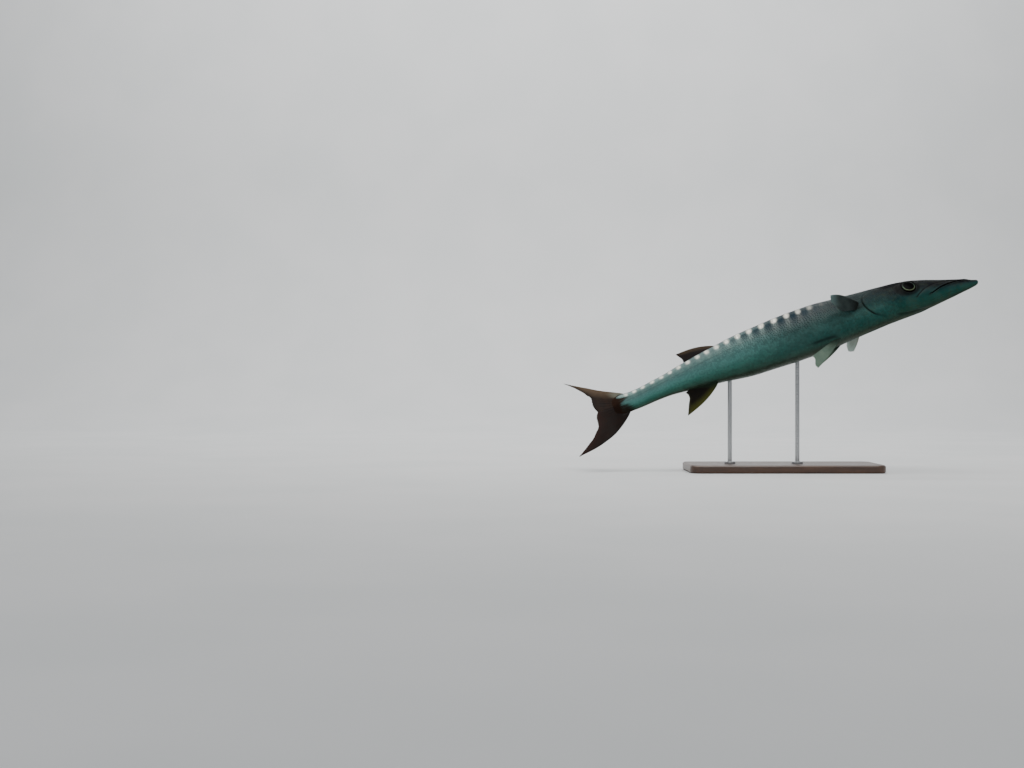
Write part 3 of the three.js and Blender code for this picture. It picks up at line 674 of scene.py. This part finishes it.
# A fin of two faces over a family of rays, thick and fleshy at its root and thin at its margin
def build_fin(name, place, material, rays, root_thickness=FIN_ROOT, ray_height=RAY_HEIGHT, node=None):
    columns = rays * COLUMNS_PER_RAY + 1
    rows_along = np.linspace(0, 1, FIN_ROWS) ** 0.9
    along, across = np.meshgrid(rows_along, np.linspace(0, 1, columns), indexing="ij")
    ridge = ray_ridges(across, along, rays)
    along = along * (1 - 0.022 * (1 - ridge) * ease(along, 0.6, 1.0))
    points = place(across, along)
    step = 0.004
    way_across = place(np.minimum(across + step, 1), along) - place(np.maximum(across - step, 0), along)
    way_along = place(across, np.minimum(along + step, 1)) - place(across, np.maximum(along - step, 0))
    normal = unit(np.cross(way_across, way_along))
    body = root_thickness + (MEMBRANE - root_thickness) * np.minimum(along * 4, 1)
    edge = np.minimum(across, 1 - across) * rays
    body = np.where(edge < 0.12, body * 0.8, body)
    raised = ridge * ray_height * (1 - 0.6 * along) * ease(along, 0, 0.06)
    half = body * (1 - 0.3 * along) / 2 + raised
    both = np.stack([points + normal * half[..., None], points - normal * half[..., None]]).reshape(-1, 3)
    both[:, 1] += sweep_at(-both[:, 0])
    faces = closed_faces(both, FIN_ROWS, columns)
    values = {"across": across, "along": along, "ray": ridge}
    values = {key: np.tile(value.ravel(), 2) for key, value in values.items()}
    face_map = MAP_MARGIN + np.stack([(MAP_SPAN - 0.5) * across, MAP_SPAN * along], -1).reshape(-1, 2)
    both_maps = np.concatenate([face_map, face_map + [0.5, 0]])
    piece = make_piece(name, placed(both), faces.tolist(), values, both_maps[faces.ravel()], material)
    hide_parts(node or name.replace("skin", "fin"))


# Fins of back and belly: where each stands, how far the tips of its rays reach back and up from the first
# ray to the last, and the first ray's lean and bow
FIRST_DORSAL = dict(
    profile=back_at, up=1, start=357, end=432, back=[(0, 62), (0.5, 40), (1, 12)],
    rise=[(0, 5.5), (0.5, 4.5), (1, 1.5)], lean=0, bow=1,
)
SECOND_DORSAL = dict(
    profile=back_at, up=1, start=614, end=691, back=[(0, 95), (0.3, 66), (0.6, 39), (1, 8)],
    rise=[(0, 20), (0.3, 12), (0.6, 6.5), (1, 2)], lean=0, bow=13,
)
ANAL = dict(
    profile=belly_at, up=-1, start=643, end=711, back=[(0, 94), (0.3, 61), (0.6, 34), (1, 11)],
    rise=[(0, 45), (0.3, 22), (0.6, 10), (1, 3.5)], lean=12, bow=15,
)


def median_place(profile, up, start, end, back, rise, lean, bow):
    back_share, rise_share = smooth_through(back), smooth_through(rise)
    near = np.array([0, 0, up * bow])

    def place(across, along):
        station = start + (end - start) * across
        sunk = MEDIAN_ROOT_SUNK * fade(along, 0, 0.08)
        root = np.stack([-station, np.zeros_like(across), profile(station) - up * sunk], -1)
        tip_height = profile(station) + up * (FIN_CLEAR + rise_share(across))
        tip = np.stack([-station - back_share(across), lean * (1 - across), tip_height], -1)
        return bowed(root, tip, near, near / 2, (1 - across) ** 2, along)
    return place


# Lobes of the tail fin: reach and height of the margin across the rays, and the bows of the first ray
SHORT_RAY_SHARE = 2 / 9
SHORT_RAY_REACH = 18.0
UPPER_LOBE = dict(
    side=1, edge=back_at, near=(4, 0, -1), far=(3, 0, -3),
    margin=[(0, 107, 99), (0.25, 79, 71), (0.5, 65, 51), (0.72, 58, 36), (0.88, 60, 19), (1, 55, -0.8)],
)
LOWER_LOBE = dict(
    side=-1, edge=belly_at, near=(6, 0, 22), far=(6, 0, 16),
    margin=[(0, 133, 103), (0.25, 102, 79), (0.5, 77, 54), (0.72, 64, 32), (0.88, 62, 16), (1, 55, 0)],
)


def tail_place(side, edge, near, far, margin):
    margin = np.array(margin, float)
    reach = smooth_through(margin[:, :2])
    rise = smooth_through(margin[:, [0, 2]])
    near, far = (np.array(bow, float) * (1, 1, side) for bow in (near, far))

    def place(across, along):
        short = across < SHORT_RAY_SHARE
        forward = fade(across, 0, SHORT_RAY_SHARE) * SHORT_RAY_REACH
        down = np.clip((across - SHORT_RAY_SHARE) / (1 - SHORT_RAY_SHARE), 0, 1)
        sunk = fade(along, 0, 0.05)
        outward = side * (FIN_CLEAR - TAIL_ROOT_SUNK * sunk)
        edge_height = edge(STANDARD_LENGTH - forward) + outward
        end_height = (edge(STANDARD_LENGTH) + outward) * (1 - down)
        root_x = np.where(short, forward, TAIL_ROOT_FORWARD * sunk) - STANDARD_LENGTH - FIN_CLEAR
        zero = np.zeros_like(across)
        root = np.stack([root_x, zero, np.where(short, edge_height, end_height)], -1)
        tip = np.stack([-STANDARD_LENGTH - reach(across), zero, side * (FIN_CLEAR + rise(across))], -1)
        return bowed(root, tip, near, far, (1 - across) ** 2, along)
    return place


# Paired fins: stations and heights of the first and last root, lengths of the rays across the fin, and on
# each side the reach of the first and last ray and their bow
PECTORAL = dict(
    stations=(285, 297), heights=(6, -10), lengths=[(0, 1), (0.25, 0.97), (0.6, 0.78), (1, 0.5)],
    reach={
        "right": [(-69, 66, 1), (-74, 46, -14), (0, 0, 15)],
        "left": [(-22, 75, -30), (-52, 60, -22), (12, 0, 0)],
    },
)
PELVIC = dict(
    stations=(352, 372), heights=(-54.5, -56), lengths=[(0, 1), (0.25, 0.94), (0.6, 0.76), (1, 0.66)],
    reach={
        "right": [(-80, 2, -57), (-91, 4.5, -35), (2, 0, -4)],
        "left": [(-69, 9.5, -30), (-64, 13, -5), (2, 0, -4)],
    },
)
SIDES = {"left": 1, "right": -1}


def paired_place(word, stations, heights, lengths, reach):
    side = SIDES[word]
    first, last, bow = (np.array(way, float) for way in reach[word])
    length_share = smooth_through(lengths)

    def place(across, along):
        station = stations[0] + (stations[1] - stations[0]) * across
        angle = angle_at_height(station, heights[0] + (heights[1] - heights[0]) * across)
        y, height, (out_y, out_z) = section_point(station, angle)
        root_y, root_z = y - PAIRED_ROOT_SUNK * out_y, height - PAIRED_ROOT_SUNK * out_z
        root = np.stack([-station, side * root_y, root_z], -1)
        way = first + (last - first) * across[..., None]
        tip = root + way * (1, side, 1) * length_share(across)[..., None]
        return bowed(root, tip, bow, bow, 1 - across, along)
    return place


def build_fins(looks):
    build_fin(
        "first_dorsal_skin", median_place(**FIRST_DORSAL), looks["dorsal"], rays=5,
        root_thickness=FOLDED_FIN_ROOT, ray_height=FOLDED_RAY_HEIGHT,
    )
    build_fin("second_dorsal_skin", median_place(**SECOND_DORSAL), looks["dorsal"], rays=10)
    build_fin("anal_skin", median_place(**ANAL), looks["anal"], rays=10)
    for lobe, numbers in (("upper", UPPER_LOBE), ("lower", LOWER_LOBE)):
        build_fin(
            f"tail_{lobe}_skin", tail_place(**numbers), looks[f"tail_{lobe}"], rays=12,
            root_thickness=TAIL_ROOT, node=f"tail_fin_{lobe}",
        )
    # The two pectorals take lit and shaded copies of one look: painted light on the far one, painted shade
    # on the near one
    pectoral_lit_and_shaded_looks = {"left": looks["pectoral_far_lit"], "right": looks["pectoral"]}
    for word in SIDES:
        pectoral, pelvic = paired_place(word, **PECTORAL), paired_place(word, **PELVIC)
        build_fin(f"pectoral_skin_{word}", pectoral, pectoral_lit_and_shaded_looks[word], rays=13)
        build_fin(f"pelvic_skin_{word}", pelvic, looks["pelvic"], rays=7)


EYE_RINGS = 60
EYE_SIDES = 96


# An eye: a ball that bulges at the cornea, with values for its rings of pupil and iris
def build_eye(word, side, material):
    turn = np.linspace(0, math.pi, EYE_RINGS)[:, None]
    around = np.arange(EYE_SIDES) / EYE_SIDES * TURN
    reach = np.sin(turn) * np.ones(EYE_SIDES)
    out = np.where(turn < math.pi / 2, CORNEA_BULGE, EYE_DEPTH) * np.cos(turn)
    facing = unit(EYE_FACING * (1, side, 1))
    forward = unit([1.0, 0, 0] - facing[0] * facing)
    upward = np.cross(forward, facing) * side
    seat_y = section_point(EYE_STATION, angle_at_height(EYE_STATION, EYE_HEIGHT))[0]
    seat = np.array([-EYE_STATION, side * seat_y, EYE_HEIGHT])
    spoke = forward * np.cos(around)[:, None] + upward * np.sin(around)[:, None]
    points = seat + EYE_RADIUS * reach[..., None] * spoke + facing * out[..., None]
    points[..., 1] += sweep_at(-points[..., 0])
    faces = grid_faces(EYE_RINGS, EYE_SIDES, closed=True, flip=side < 0)
    inner = (turn > math.pi / 2) * np.ones(EYE_SIDES)
    values = {"reach": reach, "rise": np.sin(around) * reach, "inner": inner}
    piece = make_piece(f"eye_ball_{word}", placed(points), faces.tolist(), values, None, material)
    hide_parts(f"eye_{word}")


# A colour from its look on a screen, as whole numbers from 0 to 255
def screen_colour(red, green, blue):
    def linear(value):
        value = value / 255
        return value / 12.92 if value <= 0.04045 else ((value + 0.055) / 1.055) ** 2.4
    return (linear(red), linear(green), linear(blue), 1.0)


# Helpers for building a material from nodes, where a tuple stands for a screen colour
class Nodes:
    def __init__(self, name):
        self.material = bpy.data.materials.new(name)
        self.material.use_nodes = True
        self.tree = self.material.node_tree
        self.shader = self.tree.nodes["Principled BSDF"]

    def feed(self, node, inputs):
        for key, value in inputs.items():
            if isinstance(value, bpy.types.NodeSocket):
                self.tree.links.new(value, node.inputs[key])
            else:
                is_colour = isinstance(value, tuple)
                node.inputs[key].default_value = screen_colour(*value) if is_colour else value

    def add(self, kind, inputs, **settings):
        made = self.tree.nodes.new(f"ShaderNode{kind}")
        for key, value in settings.items():
            setattr(made, key, value)
        self.feed(made, inputs)
        return made

    def value(self, name):
        return self.add("Attribute", {}, attribute_name=name).outputs["Fac"]

    def noise(self, scale, detail=3.0, roughness=0.5, stretch=None, vector=None):
        if vector is None:
            vector = self.add("TexCoord", {}).outputs["Object"]
        if stretch is not None:
            vector = self.add("Mapping", {"Vector": vector, "Scale": stretch}).outputs["Vector"]
        inputs = {"Vector": vector, "Scale": scale, "Detail": detail, "Roughness": roughness}
        return self.add("TexNoise", inputs).outputs["Fac"]

    def math(self, operation, a, b=0.0):
        return self.add("Math", {0: a, 1: b}, operation=operation).outputs[0]

    def times(self, a, b):
        return self.math("MULTIPLY", a, b)

    def ranged(self, value, low, high, to_low=0.0, to_high=1.0):
        inputs = {"Value": value, "From Min": low, "From Max": high, "To Min": to_low, "To Max": to_high}
        return self.add("MapRange", inputs, interpolation_type="SMOOTHSTEP").outputs["Result"]

    def mix(self, factor, a, b):
        return self.add("Mix", {0: factor, 6: a, 7: b}, data_type="RGBA").outputs[2]

    # A base taken towards a colour, by a strength times a value from 0 to 1
    def tinted(self, base, value, strength, colour):
        return self.mix(self.times(value, strength), base, colour)

    def ramp(self, factor, stops):
        made = self.add("ValToRGB", {"Fac": factor})
        elements = made.color_ramp.elements
        for position, _ in stops[2:]:
            elements.new(position)
        for element, (position, shade) in zip(elements, stops):
            element.position, element.color = position, screen_colour(*shade)
        return made.outputs["Color"]

    def bump(self, height, strength, distance):
        inputs = {"Height": height, "Strength": strength, "Distance": distance}
        self.feed(self.shader, {"Normal": self.add("Bump", inputs).outputs["Normal"]})

    def finish(self, base, roughness, metallic=0.0, **others):
        self.feed(self.shader, {"Base Color": base, "Roughness": roughness, "Metallic": metallic})
        self.feed(self.shader, {key.replace("_", " "): value for key, value in others.items()})
        return self.material


# Colours of the head and of the trunk's front and rear, by share of the way from back to belly. The dark
# olive belly is painted shade, and the rear's lighter colours, brightest high on its flank, are partly
# painted light from above
HEAD_STOPS = [
    (0.0, (20, 18, 22)), (0.3, (14, 13, 20)), (0.4, (6, 7, 14)), (0.48, (7, 14, 22)), (0.56, (20, 48, 50)),
    (0.7, (26, 72, 66)), (0.82, (30, 70, 60)), (0.92, (32, 54, 44)), (1.0, (50, 60, 46)),
]
FRONT_STOPS = [
    (0.0, (24, 28, 32)), (0.22, (44, 54, 56)), (0.32, (34, 45, 47)), (0.42, (28, 42, 46)),
    (0.54, (27, 59, 58)), (0.62, (48, 86, 82)), (0.7, (40, 84, 79)), (0.8, (22, 72, 66)),
    (0.88, (32, 70, 60)), (0.94, (34, 52, 40)), (1.0, (50, 60, 46)),
]
REAR_STOPS = [
    (0.0, (60, 66, 68)), (0.16, (100, 118, 118)), (0.22, (130, 156, 152)), (0.3, (124, 154, 148)),
    (0.4, (80, 110, 107)), (0.5, (80, 120, 117)), (0.62, (72, 124, 118)), (0.72, (54, 110, 100)),
    (0.8, (28, 82, 70)), (0.9, (24, 62, 48)), (0.94, (30, 48, 34)), (1.0, (46, 60, 46)),
]
# Strength and colour of each marking and painted light: the gap's near white is partly a painted highlight,
# and the dark lines are mostly painted shade
MARKING_AND_PAINTED_LIGHT_LOOKS = [
    ("bar", 0.85, (30, 48, 60)), ("line", 0.35, (52, 66, 62)), ("gap", 0.95, (252, 250, 236)),
    ("crown", 0.9, (10, 8, 13)), ("dark", 0.94, (9, 5, 6)),
]


# Skin and scales alike: a dark head, silver green flanks with painted shade on the belly and painted light
# towards the rear, bars with bright gaps that are partly a painted highlight, and dark lines that are
# mostly painted shade
def body_material(name, scale_like):
    n = Nodes(name)
    wander = n.times(n.math("SUBTRACT", n.noise(9.0), 0.5), 0.05)
    girth = n.math("ADD", n.value("girth"), wander)
    station = n.value("station")
    flank = n.mix(n.ranged(station, 0.225, 0.29), n.ramp(girth, HEAD_STOPS), n.ramp(girth, FRONT_STOPS))
    # Over to the rear ramp, lighter partly as painted light from above
    flank = n.mix(n.ranged(station, 0.49, 0.69), flank, n.ramp(girth, REAR_STOPS))
    flank = n.tinted(flank, n.ranged(n.noise(38.0, 4.0, 0.6), 0.35, 0.7), 0.1, (96, 122, 114))
    olive = n.times(n.ranged(n.noise(120.0, 4.0, 0.65), 0.45, 0.7), n.ranged(station, 0.5, 0.3))
    flank = n.tinted(flank, olive, 0.3, (58, 62, 38))
    for key, strength, colour in MARKING_AND_PAINTED_LIGHT_LOOKS:
        flank = n.tinted(flank, n.value(key), strength, colour)
    drawn_out = {"X": n.times(station, 14.0), "Y": n.times(n.value("girth"), 100.0)}
    streaks = n.noise(1.0, vector=n.add("CombineXYZ", drawn_out).outputs["Vector"])
    fray = n.times(n.math("SUBTRACT", streaks, 0.5), 2.2)
    tail = n.ranged(n.math("ADD", n.value("stalk"), fray), 0.3, 1.0)
    # The dark brown tail over the stalk's end, darker towards the belly as painted shade
    flank = n.mix(tail, flank, n.mix(n.ranged(girth, 0.36, 0.6), (45, 28, 20), (29, 14, 8)))

    # Random tone per scale, times painted light that brightens the flank towards the tail
    tone = n.ranged(n.value("tone"), 0.0, 1.0, 0.86, 1.14)
    light = n.times(tone, n.ranged(station, 0.76, 0.88, 1.0, 1.16))
    painted_lit_flank = n.add("VectorMath", {0: flank, "Scale": light}, operation="SCALE")
    grain = n.noise(900.0 if scale_like else 420.0, 4.0, 0.6)
    fine = n.mix(n.ranged(grain, 0.3, 0.75, 0.0, 0.2), painted_lit_flank.outputs["Vector"], (36, 50, 46))
    front_dull = n.times(n.ranged(station, 0.55, 0.28), 0.8)
    dull = n.value("dark")
    for other in (tail, n.value("crown"), front_dull, n.value("bar")):
        dull = n.math("MAXIMUM", dull, other)
    rough = n.math("ADD", n.ranged(n.value("tone"), 0.0, 1.0, 0.32, 0.46), n.times(dull, 0.2))
    bright = n.math("SUBTRACT", 1.0, dull)
    shine = n.math("SUBTRACT", 0.25, n.times(dull, 0.22))
    n.bump(grain, 0.18 if scale_like else 0.3, 0.0004)
    return n.finish(
        fine, rough, n.times(bright, 0.28), Coat_Weight=n.times(bright, 0.12), Coat_Roughness=0.2,
        Specular_IOR_Level=shine, IOR=1.45,
    )


# Looks of the fins: colours of membrane and rays, front edge, tips and root, and how far each goes as a
# share of the rays or of their length. A span of 1 or more covers all of the rays
FIN_LOOKS = {
    "dorsal": dict(
        membrane=(14, 7, 8), ray=(24, 14, 13), front=(74, 60, 45), tip=(24, 20, 20), root=(26, 19, 17),
        front_width=0.34, tip_start=0.8, root_end=0.1, softness=0.04,
    ),
    "anal": dict(
        membrane=(8, 5, 3), ray=(18, 13, 6), front=(66, 68, 22), tip=(48, 46, 30), root=(26, 44, 30),
        front_width=0.3, tip_start=0.85, root_end=0.22, softness=0.05,
    ),
    # The upper lobe is painted lighter than the lower as painted light through it from above, with a
    # painted highlight at its root
    "tail_upper": dict(
        membrane=(20, 10, 6), ray=(44, 29, 20), front=(100, 82, 64), tip=(22, 11, 7), root=(118, 118, 104),
        front_width=0.72, tip_start=0.74, root_end=0.34, softness=0.03, root_span=0.35,
    ),
    "tail_lower": dict(
        membrane=(15, 5, 1), ray=(26, 11, 5), front=(12, 5, 2), tip=(40, 15, 7), root=(16, 9, 6),
        front_width=0.12, tip_start=0.62, root_end=0.12, softness=0.02,
    ),
    # The near pectoral is painted darker than the far one as painted shade, with painted shadow in its axil
    # at the root
    "pectoral": dict(
        membrane=(48, 58, 57), ray=(36, 44, 44), front=(60, 70, 68), tip=(104, 128, 126), root=(7, 9, 7),
        front_width=0.14, tip_start=0.6, root_end=0.42, softness=0.15, tip_span=0.8,
    ),
    # The far pectoral is painted pale as painted light through the thin fin
    "pectoral_far_lit": dict(
        membrane=(128, 140, 134), ray=(104, 114, 108), front=(92, 96, 84), tip=(150, 166, 162),
        root=(40, 50, 42), front_width=0.12, tip_start=0.7, root_end=0.3, softness=0.3,
    ),
    # The dark root is partly the fleshy base's own colour and partly painted shade where the fins meet the
    # belly
    "pelvic": dict(
        membrane=(82, 104, 92), ray=(104, 124, 110), front=(84, 104, 90), tip=(90, 112, 98),
        root=(12, 32, 24), front_width=0.1, tip_start=0.75, root_end=0.62, softness=0.25,
    ),
}


def fin_material(
    name, membrane, ray, front, tip, root, front_width, tip_start, root_end, softness,
    tip_span=2.0, root_span=1.0,
):
    n = Nodes(name)
    along, across, rays = n.value("along"), n.value("across"), n.value("ray")
    blotch = n.noise(60.0, 4.0, 0.6)
    base = n.mix(n.ranged(blotch, 0.35, 0.7), membrane, ray)
    base = n.tinted(base, rays, 0.55, ray)
    base = n.tinted(base, n.ranged(across, front_width, 0.0), 0.85, front)
    outer = n.times(n.ranged(along, tip_start, 1.0), n.ranged(across, tip_span, tip_span - 0.6))
    base = n.tinted(base, outer, 0.8, tip)
    fray = n.times(n.math("SUBTRACT", n.noise(260.0), 0.5), 0.3 * root_end)
    inner = n.ranged(n.math("ADD", along, fray), root_end, 0.0)
    base = n.tinted(base, n.times(inner, n.ranged(across, root_span + 0.2, root_span)), 0.9, root)
    joints = n.times(n.math("SINE", n.times(along, 420.0)), rays)
    n.bump(n.math("ADD", n.times(joints, 0.3), n.noise(700.0)), 0.25, 0.0004)
    return n.finish(
        base, n.ranged(blotch, 0.2, 0.8, 0.5, 0.65), Subsurface_Weight=softness, Subsurface_Scale=0.003,
        Subsurface_Radius=[1.0, 0.95, 0.85], Specular_IOR_Level=0.12,
    )


# Eye: a large black pupil in a thin silver green ring, dim above, with a painted gold glint below and a
# dark rim
def eye_material():
    n = Nodes("eye_look")
    reach, rise = n.value("reach"), n.value("rise")
    silver = n.mix(n.ranged(n.noise(600.0, 4.0, 0.65), 0.35, 0.7), (52, 72, 60), (84, 104, 86))
    # Painted glint, gold, on the ring's lower part
    silver = n.tinted(silver, n.ranged(rise, 0.1, -0.7), 0.35, (112, 108, 74))
    silver = n.tinted(silver, n.ranged(rise, -0.2, 0.5), 0.9, (14, 15, 15))
    rim = n.mix(n.ranged(reach, 0.8, 0.9), silver, (6, 4, 5))
    pupil = n.ranged(reach, 0.74, 0.7)
    ball = n.mix(pupil, n.mix(n.value("inner"), rim, (6, 4, 5)), (1, 1, 2))
    metal = n.times(n.math("SUBTRACT", 1.0, pupil), 0.15)
    return n.finish(
        ball, 0.25, metal, Coat_Weight=0.012, Coat_Roughness=0.03, Coat_IOR=1.35, Specular_IOR_Level=0.02,
    )


# Dark stained wood with its grain along the base
def wood_material():
    n = Nodes("stand_wood_look")
    grain = n.noise(7.0, 6.0, 0.62, stretch=[1.2, 26.0, 10.0])
    pores = n.noise(60.0, 3.0, 0.6, stretch=[1.0, 30.0, 30.0])
    base = n.ramp(grain, [(0.25, (48, 31, 22)), (0.5, (78, 52, 36)), (0.75, (104, 72, 50))])
    base = n.mix(n.ranged(pores, 0.52, 0.72, 0.0, 0.6), base, (34, 22, 16))
    n.bump(pores, 0.2, 0.0006)
    return n.finish(base, n.ranged(grain, 0.2, 0.8, 0.34, 0.5), Coat_Weight=0.3, Coat_Roughness=0.25)


# Brushed steel with fine lines round the rods
def steel_material():
    n = Nodes("stand_steel_look")
    lines = n.noise(90.0, 4.0, 0.7, stretch=[1.0, 1.0, 60.0])
    base = n.mix(lines, (168, 170, 172), (204, 205, 206))
    n.bump(lines, 0.08, 0.0002)
    return n.finish(base, n.ranged(lines, 0.3, 0.7, 0.2, 0.36), 1.0)


# A pale floor that curves up into a backdrop
def build_studio():
    near, far, radius, top, half = -6.0, 2.6, 1.2, 5.0, 7.0
    bend = np.linspace(0, math.pi / 2, 24)
    line = [(near, 0.0)]
    line += [(far + radius * math.sin(t), radius * (1 - math.cos(t))) for t in bend]
    line.append((far + radius, top))
    points = [(x, y, z) for y, z in line for x in (-half, half)]
    mesh = bpy.data.meshes.new("floor")
    mesh.from_pydata(points, [], grid_faces(len(line), 2, flip=True).tolist())
    mesh.polygons.foreach_set("use_smooth", np.ones(len(mesh.polygons), bool))
    n = Nodes("floor_look")
    paper = n.ranged(n.noise(3.0, 2.0), 0.3, 0.7)
    mesh.materials.append(n.finish(n.mix(paper, (222, 224, 224), (227, 228, 228)), 0.85))
    add_object("floor", mesh)


def add_light(name, place, aim, size, power, tint):
    light = bpy.data.lights.new(name, "AREA")
    light.shape = "RECTANGLE"
    light.size, light.size_y = size
    light.energy = power
    light.color = tint
    lamp = add_object(name, light)
    lamp.location = place
    lamp.rotation_euler = (Vector(aim) - Vector(place)).to_track_quat("-Z", "Y").to_euler()


def light_studio():
    middle = (0.0, 0.0, 0.3)
    add_light("key_light", (-0.2, -0.2, 2.4), middle, (2.6, 1.4), 50.0, (1.0, 0.985, 0.96))
    add_light("fill_light", (-1.4, -2.8, 1.5), middle, (2.2, 1.6), 8.0, (0.96, 0.98, 1.0))
    add_light("backdrop_light", (-0.5, 1.9, 3.2), (-0.5, 3.8, 0.9), (5.0, 0.8), 110.0, (1.0, 1.0, 1.0))
    world = bpy.data.worlds.new("studio_air")
    world.use_nodes = True
    air = world.node_tree.nodes["Background"].inputs
    air["Color"].default_value = (0.93, 0.96, 1.0, 1.0)
    air["Strength"].default_value = 0.36
    bpy.context.scene.world = world


# The photo's viewpoint: level, from the fish's right side
def add_camera():
    data = bpy.data.cameras.new("camera")
    data.sensor_width = 36.0
    data.lens = 50.0
    data.clip_start, data.clip_end = 0.05, 60.0
    camera = add_object("camera", data)
    camera.location = (-0.62, -3.265, 0.2003)
    camera.rotation_euler = (math.pi / 2, 0, 0)
    bpy.context.scene.camera = camera


def dress_stand():
    wood, steel = wood_material(), steel_material()
    for name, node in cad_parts.items():
        if name.startswith("stand_"):
            node.data.materials.clear()
            node.data.materials.append(wood if name == "stand_base" else steel)


def build_fish():
    build_skin(body_material("skin_look", False))
    build_scales(body_material("scale_look", True))
    build_fins({key: fin_material(f"{key}_look", **look) for key, look in FIN_LOOKS.items()})
    eye = eye_material()
    for word, side in SIDES.items():
        build_eye(word, side, eye)


add_camera()
build_studio()
light_studio()
dress_stand()
build_fish()
